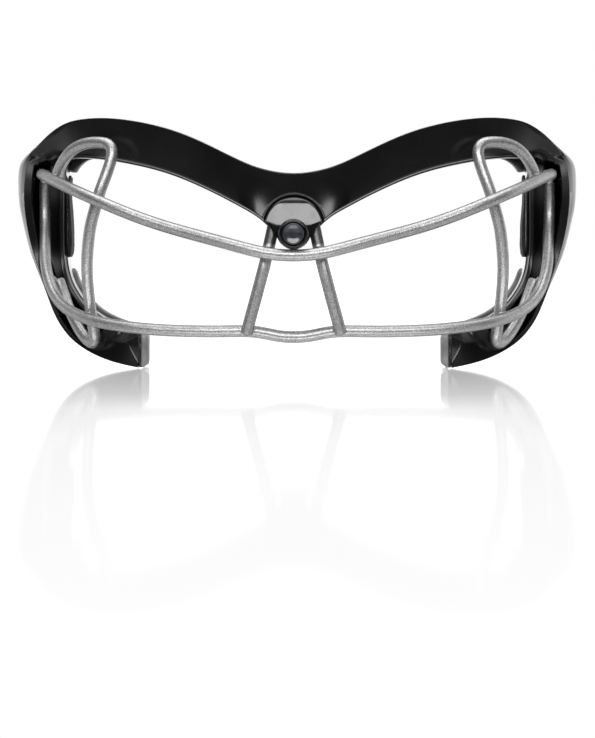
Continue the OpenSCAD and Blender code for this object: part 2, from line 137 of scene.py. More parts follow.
def pocket(t, f):
    """Depth of the temple channel; f runs from 0 at the outer wall to 1 at the inner one, so its upper end slants."""
    return 10 * sstep(14.2 - 0.85 * f, 14.5 - 0.85 * f, t) * (1 - 0.45 * sstep(21, 24, t)) * (1 - sstep(23.9, 24.25, t))


def rim(t):
    return 2.2 * (1 - 0.45 * sstep(19, 22, t))


def brow_in(t):
    """The brow pad's inner edge rounds off the upper corner of the eye opening."""
    b = back_at(t, 0.98)
    if t < 10.1:
        return b
    a = math.radians(90 - 55 * (t - 10.1) / 3.9)
    return np.array([58.4 + 8 * math.cos(a), b[1], 50.3 + 8 * math.sin(a)])


def softmax0(v, e):
    """max(v, 0) with its corner rounded over about e."""
    return 0.5 * (v + math.sqrt(v * v + e * e))


def back_at(t, f):
    s = spl(ST, t, 1)
    D = s[3:6] - s[0:3]
    W = float(np.linalg.norm(D))
    g = min(1.0, max(0.0, (f * W - 1.6 + s[8]) / (W - 2.6 + s[8])))
    ya, yb = s[1] + D[1] * 1.6 / W + s[6], s[4] - D[1] / W + s[7]
    p = s[0:3] + D * f
    p[1] = ya + (yb - ya) * g
    return p


# ---------------------------------------------------------------- mesh helpers
def world(P):
    """Points in part millimetres (x, depth, z) to metres in the frame."""
    P = np.asarray(P, float)
    return (P + np.array([0, YS, 0])) * MM


def make(name, verts, faces, material=None, angle=32.0):
    me = bpy.data.meshes.new(name)
    me.from_pydata([tuple(v) for v in verts], [], faces)
    ob = bpy.data.objects.new(name, me)
    bpy.context.scene.collection.objects.link(ob)
    tidy(ob, angle)
    if material is not None:
        me.materials.append(material)
    return ob


def tidy(ob, angle=32.0, merge=1e-7):
    """Merges doubles, points the faces outward and marks the edges sharper than the angle."""
    bm = bmesh.new()
    bm.from_mesh(ob.data)
    bmesh.ops.remove_doubles(bm, verts=bm.verts, dist=merge)
    bmesh.ops.dissolve_degenerate(bm, dist=1e-8, edges=bm.edges)
    bmesh.ops.recalc_face_normals(bm, faces=bm.faces)
    lim = math.radians(angle)
    for f in bm.faces:
        f.smooth = True
    for e in bm.edges:
        e.smooth = not (len(e.link_faces) == 2 and e.calc_face_angle(0) > lim)
    bm.to_mesh(ob.data)
    bm.free()


def bake(ob):
    """Replaces the object's mesh by its evaluated one, and drops the modifiers."""
    dg = bpy.context.evaluated_depsgraph_get()
    me = bpy.data.meshes.new_from_object(ob.evaluated_get(dg))
    old = ob.data
    mats = [m for m in old.materials]
    ob.modifiers.clear()
    ob.data = me
    me.materials.clear()
    for m in mats:
        me.materials.append(m)
    bpy.data.meshes.remove(old)
    return ob


def boolean(ob, cutters, op="DIFFERENCE", keep=False):
    for c in cutters:
        m = ob.modifiers.new("b", "BOOLEAN")
        m.operation = op
        m.solver = "EXACT"
        m.object = c
    bake(ob)
    if not keep:
        for c in cutters:
            bpy.data.objects.remove(c)
    return ob


def rings_mesh(name, rings, material=None, closed=False, caps=True, angle=32.0):
    n, m = len(rings), len(rings[0])
    verts = [p for r in rings for p in r]
    faces = []
    for i in range(n if closed else n - 1):
        a, b = i * m, ((i + 1) % n) * m
        for j in range(m):
            k = (j + 1) % m
            faces.append((a + j, b + j, b + k, a + k))
    if caps and not closed:
        faces.append(tuple(range(m)))
        faces.append(tuple((n - 1) * m + j for j in reversed(range(m))))
    return make(name, verts, faces, material, angle)


def lathe(name, prof, z, material=None, seg=96, x=0.0, angle=32.0, shape=None):
    """A solid turned about the depth axis; prof runs from the axis to the axis as (radius, depth)."""
    verts, faces, idx = [], [], []
    for r, d in prof:
        if r < 1e-6:
            verts.append((x, d, z))
            idx.append([len(verts) - 1] * seg)
        else:
            row = []
            for j in range(seg):
                a = 2 * math.pi * j / seg
                px, pz = r * math.cos(a), r * math.sin(a)
                dd = d if shape is None else shape(r, px, pz, d)
                verts.append((x + px, dd, z + pz))
                row.append(len(verts) - 1)
            idx.append(row)
    for a, b in zip(idx, idx[1:]):
        for j in range(seg):
            k = (j + 1) % seg
            q = []
            for v in (a[j], a[k], b[k], b[j]):
                if v not in q:
                    q.append(v)
            if len(q) > 2:
                faces.append(tuple(q))
    return make(name, world(verts), faces, material, angle)


def ring_lathe(name, prof, z, material=None, seg=96, x=0.0, angle=32.0, hexes=None):
    """A ring turned about the depth axis: prof is a closed loop that never meets the axis."""
    rings = []
    for j in range(seg):
        a = 2 * math.pi * j / seg
        ring = []
        for r, d in prof:
            if hexes and r > hexes:
                r = r * math.cos(math.pi / 6) / math.cos((a + math.pi / 6) % (math.pi / 3) - math.pi / 6)
            ring.append((x + r * math.cos(a), d, z + r * math.sin(a)))
        rings.append(world(ring))
    return rings_mesh(name, rings, material, closed=True, caps=False, angle=angle)


def arc(cx, cy, r, a0, a1, n):
    return [(cx + r * math.cos(math.radians(a0 + (a1 - a0) * i / n)), cy + r * math.sin(math.radians(a0 + (a1 - a0) * i / n))) for i in range(n + 1)]


# ---------------------------------------------------------------- materials
def nodes_of(name):
    mat = bpy.data.materials.new(name)
    mat.use_nodes = True
    nt = mat.node_tree
    bsdf = nt.nodes["Principled BSDF"]
    return mat, nt, bsdf


def coords(nt):
    return nt.nodes.new("ShaderNodeTexCoord").outputs["Object"]


def noise_tex(nt, co, scale, detail=3.0, rough=0.55):
    n = nt.nodes.new("ShaderNodeTexNoise")
    n.inputs["Scale"].default_value = scale
    n.inputs["Detail"].default_value = detail
    n.inputs["Roughness"].default_value = rough
    nt.links.new(co, n.inputs["Vector"])
    return n.outputs["Fac"]


def ramp(nt, fac, lo, hi, a, b):
    r = nt.nodes.new("ShaderNodeMapRange")
    r.inputs["From Min"].default_value, r.inputs["From Max"].default_value = lo, hi
    r.inputs["To Min"].default_value, r.inputs["To Max"].default_value = a, b
    nt.links.new(fac, r.inputs["Value"])
    return r.outputs["Result"]


def colours(nt, fac, stops):
    r = nt.nodes.new("ShaderNodeValToRGB")
    el = r.color_ramp.elements
    while len(el) < len(stops):
        el.new(0.5)
    for e, (p, c) in zip(el, stops):
        e.position = p
        e.color = (*c, 1)
    nt.links.new(fac, r.inputs["Fac"])
    return r.outputs["Color"]


def bump(nt, bsdf, layers):
    """layers: (height socket, distance in metres)"""
    last = None
    for h, d in layers:
        b = nt.nodes.new("ShaderNodeBump")
        b.inputs["Strength"].default_value = 1.0
        b.inputs["Distance"].default_value = d
        nt.links.new(h, b.inputs["Height"])
        if last is not None:
            nt.links.new(last, b.inputs["Normal"])
        last = b.outputs["Normal"]
    nt.links.new(last, bsdf.inputs["Normal"])


def grey(v, warm=0.0):
    return (v * (1 + warm), v, v * (1 - warm))


# moulded glossy black plastic
m_frame, nt, b = nodes_of("frame_gloss")
co = coords(nt)
peel, speck, cloud = noise_tex(nt, co, 260, 2), noise_tex(nt, co, 2600, 2), noise_tex(nt, co, 45, 3)
nt.links.new(colours(nt, cloud, [(0.3, (0.0040, 0.0040, 0.0044)), (0.7, (0.0056, 0.0056, 0.0060))]), b.inputs["Base Color"])
# the front of the brow is a little less polished than the bridge and the flanks
fs = nt.nodes.new("ShaderNodeSeparateXYZ")
nt.links.new(co, fs.inputs[0])
fx = nt.nodes.new("ShaderNodeMath")
fx.operation = "ABSOLUTE"
nt.links.new(fs.outputs["X"], fx.inputs[0])
satin = ramp(nt, fx.outputs[0], 0.020, 0.030, 0.0, 1.0)
for sock, lo, hi, a, c in ((fx.outputs[0], 0.062, 0.070, 1.0, 0.0), (fs.outputs["Z"], 0.050, 0.056, 0.0, 1.0)):
    m = nt.nodes.new("ShaderNodeMath")
    m.operation = "MULTIPLY"
    nt.links.new(satin, m.inputs[0])
    nt.links.new(ramp(nt, sock, lo, hi, a, c), m.inputs[1])
    satin = m.outputs[0]
rgh = nt.nodes.new("ShaderNodeMath")
rgh.operation = "MULTIPLY_ADD"
nt.links.new(satin, rgh.inputs[0])
rgh.inputs[1].default_value = 0.08
nt.links.new(ramp(nt, cloud, 0.3, 0.7, 0.18, 0.24), rgh.inputs[2])
nt.links.new(rgh.outputs[0], b.inputs["Roughness"])
bump(nt, b, [(peel, 6e-6), (speck, 1.6e-6)])

# polished cover
m_cover, nt, b = nodes_of("cover_gloss")
co = coords(nt)
wave, cloud = noise_tex(nt, co, 170, 2), noise_tex(nt, co, 60, 2)
nt.links.new(colours(nt, cloud, [(0.3, (0.006, 0.006, 0.0065)), (0.7, (0.009, 0.009, 0.0095))]), b.inputs["Base Color"])
nt.links.new(ramp(nt, noise_tex(nt, co, 240, 3, 0.6), 0.4, 0.68, 0.05, 0.24), b.inputs["Roughness"])
b.inputs["Specular IOR Level"].default_value = 0.7
bump(nt, b, [(noise_tex(nt, co, 75, 1), 1.1e-4), (wave, 2.0e-5)])

# collar
m_collar, nt, b = nodes_of("collar_gloss")
co = coords(nt)
cloud, fine = noise_tex(nt, co, 120, 2), noise_tex(nt, co, 2200, 2)
nt.links.new(colours(nt, cloud, [(0.3, (0.0038, 0.0038, 0.004)), (0.7, (0.006, 0.006, 0.0062))]), b.inputs["Base Color"])
nt.links.new(ramp(nt, cloud, 0.3, 0.7, 0.1, 0.16), b.inputs["Roughness"])
bump(nt, b, [(fine, 1.5e-6)])

# dark plated bolt
m_bolt, nt, b = nodes_of("bolt_dark")
co = coords(nt)
cloud, fine = noise_tex(nt, co, 900, 3), noise_tex(nt, co, 5000, 2)
nt.links.new(colours(nt, cloud, [(0.3, (0.022, 0.025, 0.033)), (0.7, (0.040, 0.044, 0.055))]), b.inputs["Base Color"])
b.inputs["Specular IOR Level"].default_value = 0.7
nt.links.new(ramp(nt, cloud, 0.3, 0.7, 0.12, 0.20), b.inputs["Roughness"])
bump(nt, b, [(fine, 1.5e-6)])

# zinc washer and nut
m_steel, nt, b = nodes_of("bright_steel")
co = coords(nt)
cloud, fine = noise_tex(nt, co, 500, 3), noise_tex(nt, co, 4000, 2)
nt.links.new(colours(nt, cloud, [(0.3, (0.52, 0.52, 0.53)), (0.7, (0.68, 0.68, 0.69))]), b.inputs["Base Color"])
b.inputs["Metallic"].default_value = 1.0
nt.links.new(ramp(nt, cloud, 0.3, 0.7, 0.22, 0.36), b.inputs["Roughness"])
bump(nt, b, [(fine, 2e-6)])

# silver paint with a fine metallic grain
m_wire, nt, b = nodes_of("cage_silver")
co = coords(nt)
grain, flake, cloud = noise_tex(nt, co, 3300, 3, 0.6), noise_tex(nt, co, 6500, 2, 0.6), noise_tex(nt, co, 220, 3)
mixc = nt.nodes.new("ShaderNodeMix")
mixc.data_type = "RGBA"
mixc.blend_type = "MULTIPLY"
mixc.inputs["Factor"].default_value = 1.0
nt.links.new(colours(nt, grain, [(0.3, grey(0.23)), (0.5, grey(0.47)), (0.72, grey(0.77))]), mixc.inputs["A"])
nt.links.new(colours(nt, cloud, [(0.3, grey(0.88)), (0.7, grey(1.0))]), mixc.inputs["B"])
# painted shade: the wire's colour is darkened where the nose wire runs up behind the bridge bolt, standing in for the
# bridge's shade
ws = nt.nodes.new("ShaderNodeSeparateXYZ")
nt.links.new(co, ws.inputs[0])
wx = nt.nodes.new("ShaderNodeMath")
wx.operation = "ABSOLUTE"
nt.links.new(ws.outputs["X"], wx.inputs[0])
bridge_shade = nt.nodes.new("ShaderNodeMath")
bridge_shade.operation = "MULTIPLY"
nt.links.new(ramp(nt, ws.outputs["Z"], 0.0333, 0.0342, 0.0, 1.0), bridge_shade.inputs[0])
nt.links.new(ramp(nt, wx.outputs[0], 0.0083, 0.0088, 1.0, 0.0), bridge_shade.inputs[1])
mixd = nt.nodes.new("ShaderNodeMix")
mixd.data_type = "RGBA"
mixd.blend_type = "MULTIPLY"
mixd.inputs["Factor"].default_value = 1.0
nt.links.new(mixc.outputs["Result"], mixd.inputs["A"])
nt.links.new(colours(nt, bridge_shade.outputs[0], [(0.0, grey(1.0)), (1.0, grey(0.3))]), mixd.inputs["B"])
nt.links.new(mixd.outputs["Result"], b.inputs["Base Color"])
b.inputs["Metallic"].default_value = 0.82
b.inputs["Specular Tint"].default_value = (0.2, 0.2, 0.2, 1)
nt.links.new(ramp(nt, flake, 0.3, 0.7, 0.31, 0.43), b.inputs["Roughness"])
bump(nt, b, [(grain, 3.2e-5), (flake, 0.9e-5)])


def rubber(name, lo, hi, rough, fine_d, spec=0.4, sss=0.0, seam=False, painted_shade_tail=None):
    mat, nt, b = nodes_of(name)
    co = coords(nt)
    fine, cloud, pore = noise_tex(nt, co, 3000, 3, 0.6), noise_tex(nt, co, 160, 3), noise_tex(nt, co, 900, 2)
    mx = nt.nodes.new("ShaderNodeMix")
    mx.data_type = "RGBA"
    mx.blend_type = "MULTIPLY"
    mx.inputs["Factor"].default_value = 1.0
    nt.links.new(colours(nt, cloud, [(0.3, grey(lo)), (0.7, grey(hi))]), mx.inputs["A"])
    nt.links.new(colours(nt, fine, [(0.3, grey(0.82)), (0.7, grey(1.0))]), mx.inputs["B"])
    shade = mx.outputs["Result"]
    if seam:                            # the cheek pads have a rough dark seam where they meet the arm's end
        sx = nt.nodes.new("ShaderNodeSeparateXYZ")
        nt.links.new(co, sx.inputs[0])
        ab = nt.nodes.new("ShaderNodeMath")
        ab.operation = "ABSOLUTE"
        nt.links.new(sx.outputs["X"], ab.inputs[0])
        band = nt.nodes.new("ShaderNodeMath")
        band.operation = "MULTIPLY"
        nt.links.new(ramp(nt, ab.outputs[0], 0.0416, 0.0419, 0.0, 1.0), band.inputs[0])
        nt.links.new(ramp(nt, ab.outputs[0], 0.0428, 0.0430, 1.0, 0.0), band.inputs[1])
        sm = nt.nodes.new("ShaderNodeMix")
        sm.data_type = "RGBA"
        nt.links.new(band.outputs[0], sm.inputs["Factor"])
        nt.links.new(shade, sm.inputs["A"])
        nt.links.new(colours(nt, noise_tex(nt, co, 1500, 3, 0.7), [(0.45, grey(0.006)), (0.62, grey(0.05)), (0.7, grey(0.22))]), sm.inputs["B"])
        shade = sm.outputs["Result"]
    if painted_shade_tail:                            # painted shade: the colour turns darker towards the outer end of the pad, where the pad lies in shade
        tx = nt.nodes.new("ShaderNodeSeparateXYZ")
        nt.links.new(co, tx.inputs[0])
        ta = nt.nodes.new("ShaderNodeMath")
        ta.operation = "ABSOLUTE"
        nt.links.new(tx.outputs["X"], ta.inputs[0])
        dm = nt.nodes.new("ShaderNodeMix")
        dm.data_type = "RGBA"
        dm.blend_type = "MULTIPLY"
        dm.inputs["Factor"].default_value = 1.0
        nt.links.new(shade, dm.inputs["A"])
        nt.links.new(colours(nt, ramp(nt, ta.outputs[0], painted_shade_tail[0], painted_shade_tail[1], 0.0, 1.0), [(0.0, grey(1.0)), (1.0, grey(painted_shade_tail[2]))]), dm.inputs["B"])
        shade = dm.outputs["Result"]
    nt.links.new(shade, b.inputs["Base Color"])
    nt.links.new(ramp(nt, fine, 0.3, 0.7, rough - 0.06, rough + 0.06), b.inputs["Roughness"])
    b.inputs["Specular IOR Level"].default_value = spec
    if sss:
        b.inputs["Subsurface Weight"].default_value = sss
        b.inputs["Subsurface Scale"].default_value = 0.0015
        b.inputs["Subsurface Radius"].default_value = (1, 1, 1)
    bump(nt, b, [(pore, 1.5e-5), (fine, fine_d)])
    return mat


# painted shade: the brow pads and the cheek pads are painted darker towards their outer ends
m_pale = rubber("silicone_pale", 0.49, 0.53, 0.42, 6e-6, 0.5, 0.25, painted_shade_tail=(0.0574, 0.0586, 0.03))
m_grey = rubber("silicone_grey", 0.25, 0.33, 0.38, 1.2e-5, 0.5, seam=True, painted_shade_tail=(0.0431, 0.047, 0.26))
m_foam = rubber("temple_foam", 0.010, 0.022, 0.75, 6e-5, 0.35)


# ---------------------------------------------------------------- frame
CROWN = 0.15


def lip_rise(x, z):
    """The face curls forward to its lower edge on both flanks of the bridge recess."""
    q = min(1.15, max(0.0, (50 - z) / 8))
    return 1.35 * q * q * math.exp(-((abs(x) - 10.2) / (5.6 if abs(x) > 10.2 else 4.4)) ** 2) * sstep(2.0, 7.5, abs(x))


def face_depth(x, z):
    """Depth of the brow's front face near the bridge."""
    x = abs(x)
    lo, hi = 0.0, 4.0
    for _ in range(24):
        t = (lo + hi) / 2
        s = spl(ST, t, 1)
        f = min(1.0, max(0.0, (s[2] - z) / (s[2] - s[5])))
        if s[0] + (s[3] - s[0]) * f < x:
            lo = t
        else:
            hi = t
    return s[1] + (s[4] - s[1]) * f - CROWN * 4 * f * (1 - f) - lip_rise(x, z)


def section(t):
    s = spl(ST, t, 1)
    O, I = s[0:3], s[3:6]
    so, si, fl = s[6], s[7], s[8]
    W = float(np.linalg.norm(I - O))
    u = (I - O) / W
    c, c1 = pocket(t, 0), pocket(t, 1)
    k, k1 = min(1.0, c / 2.0), min(1.0, c1 / 2.0)
    crown = CROWN * (1 - c1 / 10)
    rw, iw, r2, r3 = rim(t), 1.8, 0.32, 0.7
    soft = sstep(10.6, 12.4, t) * (1 - sstep(13.7, 14.2, t))   # the brow's outer corner is rounder
    ra, rd, roll = 0.25, 0.3, 0.25 + 3.0 * soft
    rw = max(rw, roll * 0.9 + r2 + 0.15)
    end = sstep(24.9, 25.5, t)          # the cheek arm's end is faceted

    def fb(a):
        q = a / W
        return -crown * 4 * q * (1 - q) * (1 - 0.6 * end) + 0.75 * soft * max(0.0, 1 - a / roll) ** 2

    pr = []
    for i in range(7):                  # outer front corner
        th = math.radians(15 * i)
        pr.append((ra * (1 - math.cos(th)), rd * (1 - math.sin(th)) + fb(ra), 0.0, 1))
    for i in range(1, 6):
        a = ra + (rw - r2 - ra) * i / 6
        pr.append((a, fb(a), 0.0, 1))
    for i in range(5):                  # inner edge of the outer wall
        th = math.radians(22.5 * i)
        a = rw - r2 + r2 * math.sin(th)
        pr.append((a, k * r2 * (1 - math.cos(th)) + fb(a), 0.0, 1))
    for i in range(5):                  # bottom fillet
        th = math.radians(22.5 * i)
        a = rw + 0.06 + 0.08 * (c / 10) + r3 * (1 - math.cos(th))
        pr.append((a, max(0.0, c - r3 * k * (1 - math.sin(th))) + fb(a), 0.0, 1))
    a0, a1 = rw + 0.14 + r3, W - iw - 0.14 - r3
    nf = 34
    for i in range(1, nf):
        a = a0 + (a1 - a0) * i / nf
        pr.append((a, pocket(t, (a - rw) / (W - rw - iw)) + fb(a), 0.0, 1))
    for i in range(5):
        th = math.radians(90 - 22.5 * i)
        a = W - iw - 0.06 - 0.08 * (c1 / 10) - r3 * (1 - math.cos(th))
        pr.append((a, max(0.0, c1 - r3 * k1 * (1 - math.sin(th))) + fb(a), 0.0, 1))
    for i in range(5):
        th = math.radians(90 - 22.5 * i)
        a = W - iw + r2 - r2 * math.sin(th)
        pr.append((a, k1 * r2 * (1 - math.cos(th)) + fb(a), 0.0, 1))
    for a, bb in ((-1.2, 0.0), (-0.95, 0.0), (-0.78, 0.06), (-0.66, 0.2), (-0.6, 0.42), (-0.32, 1.9), (-0.26, 1.99), (-0.02, 2.04), (0.05, 2.12), (0.06, 2.4)):
        pr.append((W + a, bb + (fb(W + a) if bb < 0.3 else 0), 0.0, 1 if bb < 0.5 else 0.5))
    pr.append((W + 0.05, 0.5 * si + 0.8, 0.0, 0))
    for a, bb in ((0.0, 0.9), (-0.12, 0.45), (-0.45, 0.12), (-0.9, 0.0)):
        pr.append((W + a, si - bb, 0.0, 0))
    for i in range(1, 6):
        q = i / 6
        pr.append((W - 0.9 + (1.6 - (W - 0.9)) * q, si + (so - si) * q, q, 0))
    for a, bb, h in ((1.6, 0.0, 1.0), (1.05, 0.1, 1.0), (0.7, 0.35, 1.0), (0.5, 0.85, 0.99)):
        pr.append((a, so - bb, h, 0))
    for q in (0.84, 0.72, 0.6, 0.5, 0.4, 0.32, 0.24, 0.17, 0.11):
        pr.append((0.5 * max(0.0, (q - 0.45) / 0.5) ** 1.5 - 0.25 * math.sin(math.pi * min(1, q / 0.9)), so * q, 1 - (1 - q) ** 3, 0))
    out = []
    for a, bb, h, front in pr:
        P = O + u * a + YV * bb + XV * (h * fl)
        if front and t < 3.2:
            P = P - YV * lip_rise(P[0], P[2]) * front
        if end and front:
            # facets: the band next to the eye slopes back above a crease, the tip slopes back towards the end
            fa = a / W
            crease = 0.55 + 0.08 * (t - 25.2) / 0.8 if t < 26 else 0.63 + 0.215 * (t - 26)
            below = min(fa, crease)
            tip = softmax0(1.423 * (t - 26) + 2.685 * (below - 0.63), 0.06) if t > 25.6 else 0.0
            up = softmax0((fa - crease) * W * 0.55, 0.06)
            v1 = (fa - crease) * W
            v2 = (1.423 * (t - 26) + 2.685 * (below - 0.63)) if t > 25.6 else 9.0
            ridge = 0.11 * math.exp(-(v1 / 0.2) ** 2) + 0.05 * math.exp(-(v2 / 0.13) ** 2)
            P = P + YV * ((up + tip - ridge) * end)
        out.append(P)
    return out


ts = list(np.arange(0, 3.2, 0.08)) + list(np.arange(3.2, 10.5, 0.125)) + list(np.arange(10.5, 13.2, 0.08)) + list(np.arange(13.2, 14.7, 0.03)) \
    + list(np.arange(14.7, 23.8, 0.125)) + list(np.arange(23.8, 24.35, 0.03)) + list(np.arange(24.35, 25.4, 0.06)) + list(np.arange(25.4, 27.0001, 0.03)) + [27.0]
ts = sorted(set(round(float(t), 4) for t in ts))
half_rings = [world(section(t)) for t in ts]
flip = np.array([-1, 1, 1])
rings = [r * flip for r in reversed(half_rings[1:])] + half_rings
body = rings_mesh("frame_shell", rings, m_frame, angle=28)


def rod(name, x, z, r, a, b, seg=64, prof=None):
    return lathe(name, prof or [(0, a), (r, a), (r, b), (0, b)], z, None, seg, x)


def wing(sx):
    e = 15.0
    pts = [(61, 41), (66, 38), (72, 34.5), (79, 31), (86.5, 30)] + arc(91, 35, 5, -90, 0, 10) + arc(91, 55, 5, 0, 90, 10) \
        + [(83.5, 60), (74, 59.2), (66, 57.5), (61, 55)]
    bm = bmesh.new()
    lo = [bm.verts.new((76.2, p[0], p[1])) for p in pts]
    hi = [bm.verts.new((79.2, p[0], p[1])) for p in pts]
    bm.faces.new(lo)
    bm.faces.new(hi)
    for i in range(len(pts)):
        j = (i + 1) % len(pts)
        bm.faces.new((lo[i], lo[j], hi[j], hi[i]))
    bmesh.ops.recalc_face_normals(bm, faces=bm.faces)
    rimedges = [ed for ed in bm.edges if abs(ed.verts[0].co.x - ed.verts[1].co.x) < 1e-6]
    bmesh.ops.bevel(bm, geom=rimedges, offset=0.9, segments=4, profile=0.5, affect="EDGES")
    for v in bm.verts:
        v.co = Vector(world([v.co.x * sx, v.co.y, v.co.z]))
    me = bpy.data.meshes.new("wing")
    bm.to_mesh(me)
    bm.free()
    ob = bpy.data.objects.new("wing", me)
    bpy.context.scene.collection.objects.link(ob)
    tidy(ob, 40)
    # a raised land round the slot takes the strap clear of the temple
    lp = [(79.0, 31.5)] + arc(90.5, 35.5, 4, -90, 0, 10) + arc(90.5, 54.5, 4, 0, 90, 10) + [(79.0, 58.5)]
    cx, cz = 86.75, 45.0
    land = rings_mesh("land", [world([(x * sx, cx + (q[0] - cx) * k, cz + (q[1] - cz) * k) for q in lp])
                               for x, k in ((78.6, 1.0), (79.35, 1.0), (79.48, 0.995), (79.57, 0.987), (79.6, 0.977))])
    boolean(ob, [land], "UNION")
    tidy(ob, 40)
    lv = []
    for x, d in ((75.0, 1.4), (76.2, 0.75), (76.5, 0.3), (77.0, 0), (78.8, 0), (79.3, 0.3), (79.6, 0.75), (80.8, 1.4)):
        ring = arc(89.5, 55.0, 2.5 + d, 0, 180, 14) + arc(89.5, 35.0, 2.5 + d, 180, 360, 14)
        lv.append(world([(x * sx, p[0], p[1]) for p in ring]))
    slot = rings_mesh("slot", lv)
    boolean(ob, [slot])
    return ob


wings = [wing(1), wing(-1)]
boolean(body, wings, "UNION")

# a fine bead runs round the mouth of the recess
bead = [(8.0, 0.8), (8.0, -0.02), (8.24, -0.08), (8.32, -0.12), (8.42, -0.12), (8.54, -0.07), (8.68, -0.01), (8.9, 0.05), (8.9, 0.8)]
bead_rings = []
for i in range(91):
    a = math.radians(15 + 150 * i / 90)
    bead_rings.append(world([(r * math.cos(a), face_depth(r * math.cos(a), COVER_Z + r * math.sin(a)) + d, COVER_Z + r * math.sin(a)) for r, d in bead]))
boolean(body, [rings_mesh("bead", bead_rings)], "UNION")

cut = [lathe("c", [(0, -5), (8.2, -5), (8.2, 12), (0, 12)], COVER_Z, None, 192),
       rod("c", 0, BOLT_Z, 1.6, 5, 30)]
for s in (1, -1):
    cut.append(rod("c", s * 72.9, 54.1, 1.7, 50, 64.6, 32))
    cut.append(rod("c", s * 55.6, 7.5, 3.3, 15, 34.5, 96))
    cut.append(rod("c", s * 58.2, 8.0, 2.6, 15, 37.5, 96))
    # dimple in the lower edge of the brow, behind the top of the side loop
    bm = bmesh.new()
    bmesh.ops.create_uvsphere(bm, u_segments=64, v_segments=32, radius=1.0)
    for v in bm.verts:
        q = Vector((v.co.x * 7.6, v.co.y * 3.3, v.co.z * 2.9))
        ang = math.radians(-3)
        sl = 0.8
        x, d, z = q.x, q.y + sl * q.x, q.z + math.tan(ang) * q.x * -0.4
        v.co = Vector(world([s * (57.5 + x), 34.3 + d, 59.0 + z]))
    me = bpy.data.meshes.new("dimple")
    bm.to_mesh(me)
    bm.free()
    ob = bpy.data.objects.new("dimple", me)
    bpy.context.scene.collection.objects.link(ob)
    tidy(ob, 60)
    cut.append(ob)
boolean(body, cut)
tidy(body, 28)

# ---------------------------------------------------------------- bridge hardware
def cover_face(x, z):
    """Depth of the cover's face: an upright skirt below, and a face that leans back above it."""
    edge = -0.1 + (abs(x) - 4.5) * 0.39 if abs(x) > 4.5 else -0.1
    return 5.9 + 0.24 * softmax0(z - edge, 0.25) + 0.004 * (x * x + z * z) + 0.25 * max(0.0, z - 5.9) ** 2


def cover_shape(r, px, pz, d):
    if d >= 50:                          # measured from the face
        return cover_face(px, pz) + (d - 50)
    return d


prof = [(0, 11.9), (7.5, 11.9)] + [(7.5, 51.6)] + [(7.15 + 0.35 * math.cos(math.radians(a)), 50.35 - 0.35 * math.sin(math.radians(a))) for a in range(0, 91, 15)] \
    + [(r, 50.0) for r in (6.8, 6.45, 6.1, 5.8, 5.45, 5.1, 4.75, 4.4, 4.05, 3.7, 3.35, 3.0, 2.65, 2.3, 1.95, 1.6, 1.25, 0.9, 0.5)] + [(0, cover_face(0, 0))]
cover = lathe("bridge_cover_piece", prof, COVER_Z, m_cover, 128, shape=cover_shape, angle=50)
sides = []
for s in (1, -1):
    bm = bmesh.new()
    poly = [(12, 40.2), (7.2, 39.6), (6.3, 38.5), (5.3, 37.2), (4.5, 35.9), (4.05, 35), (3.5, 34.1), (2.75, 33.4), (1.8, 32.8), (0.8, 32.45), (-0.1, 32.4), (-0.1, 28), (12, 28)]
    lo = [bm.verts.new(Vector(world([s * p[0], 0, p[1]]))) for p in poly]
    hi = [bm.verts.new(Vector(world([s * p[0], 13, p[1]]))) for p in poly]
    bm.faces.new(lo)
    bm.faces.new(hi)
    for i in range(len(poly)):
        j = (i + 1) % len(poly)
        bm.faces.new((lo[i], lo[j], hi[j], hi[i]))
    me = bpy.data.meshes.new("side")
    bm.to_mesh(me)
    bm.free()
    ob = bpy.data.objects.new("side", me)
    bpy.context.scene.collection.objects.link(ob)
    tidy(ob)
    sides.append(ob)
boolean(cover, sides)
boss = lathe("boss", [(0, 5.6), (3.6, 5.6), (3.8, 5.7), (3.9, 5.95), (3.9, 11.9), (0, 11.9)], BOLT_Z, None, 96)
boolean(cover, [boss], "UNION")
groove = ring_lathe("groove", [(3.2, 12.6), (3.2, 7.85), (6.1, 7.85), (6.6, 8.3), (6.75, 9.0), (6.75, 12.6)], COVER_Z, None, 96)
bore = rod("bore", 0, BOLT_Z, 1.6, 2, 13)
front = rod("front", 0, BOLT_Z, 4.2, 0, 5.55, 96)
boolean(cover, [groove, bore, front])
tidy(cover, 35)

collar = ring_lathe("bridge_collar_piece", [(1.6, 5.5), (3.8, 5.5), (3.92, 5.42), (3.95, 5.25), (3.95, 2.75), (3.9, 2.4), (3.78, 2.1), (3.58, 1.85), (3.32, 1.72),
                                             (3.1, 1.74), (2.95, 1.9), (2.87, 2.15), (2.85, 2.5), (2.85, 3.9), (1.6, 3.9)], BOLT_Z, m_collar, 96)
bolt = lathe("bridge_bolt_piece", [(0, 0.45), (0.6, 0.44), (1.1, 0.39), (1.5, 0.3), (1.9, 0.18), (2.3, 0.065), (2.52, 0.015), (2.64, 0.0), (2.73, 0.03), (2.78, 0.11), (2.8, 0.3), (2.8, 3.88),
                                   (1.5, 3.88), (1.5, 19.9), (1.25, 20.2), (0, 20.2)], BOLT_Z, m_bolt, 96, angle=40)
washer = ring_lathe("bridge_washer_piece", [(1.6, 17.18), (1.68, 17.1), (3.08, 17.1), (3.2, 17.22), (3.2, 17.68), (3.08, 17.8), (1.68, 17.8), (1.6, 17.72)], BOLT_Z, m_steel, 96)
nut = ring_lathe("bridge_nut_piece", [(1.52, 18.05), (1.72, 17.85), (2.6, 17.85), (3.1, 18.1), (3.1, 19.95), (2.6, 20.25), (1.8, 20.25), (1.52, 20.0)], BOLT_Z, m_steel, 96, hexes=2.9)


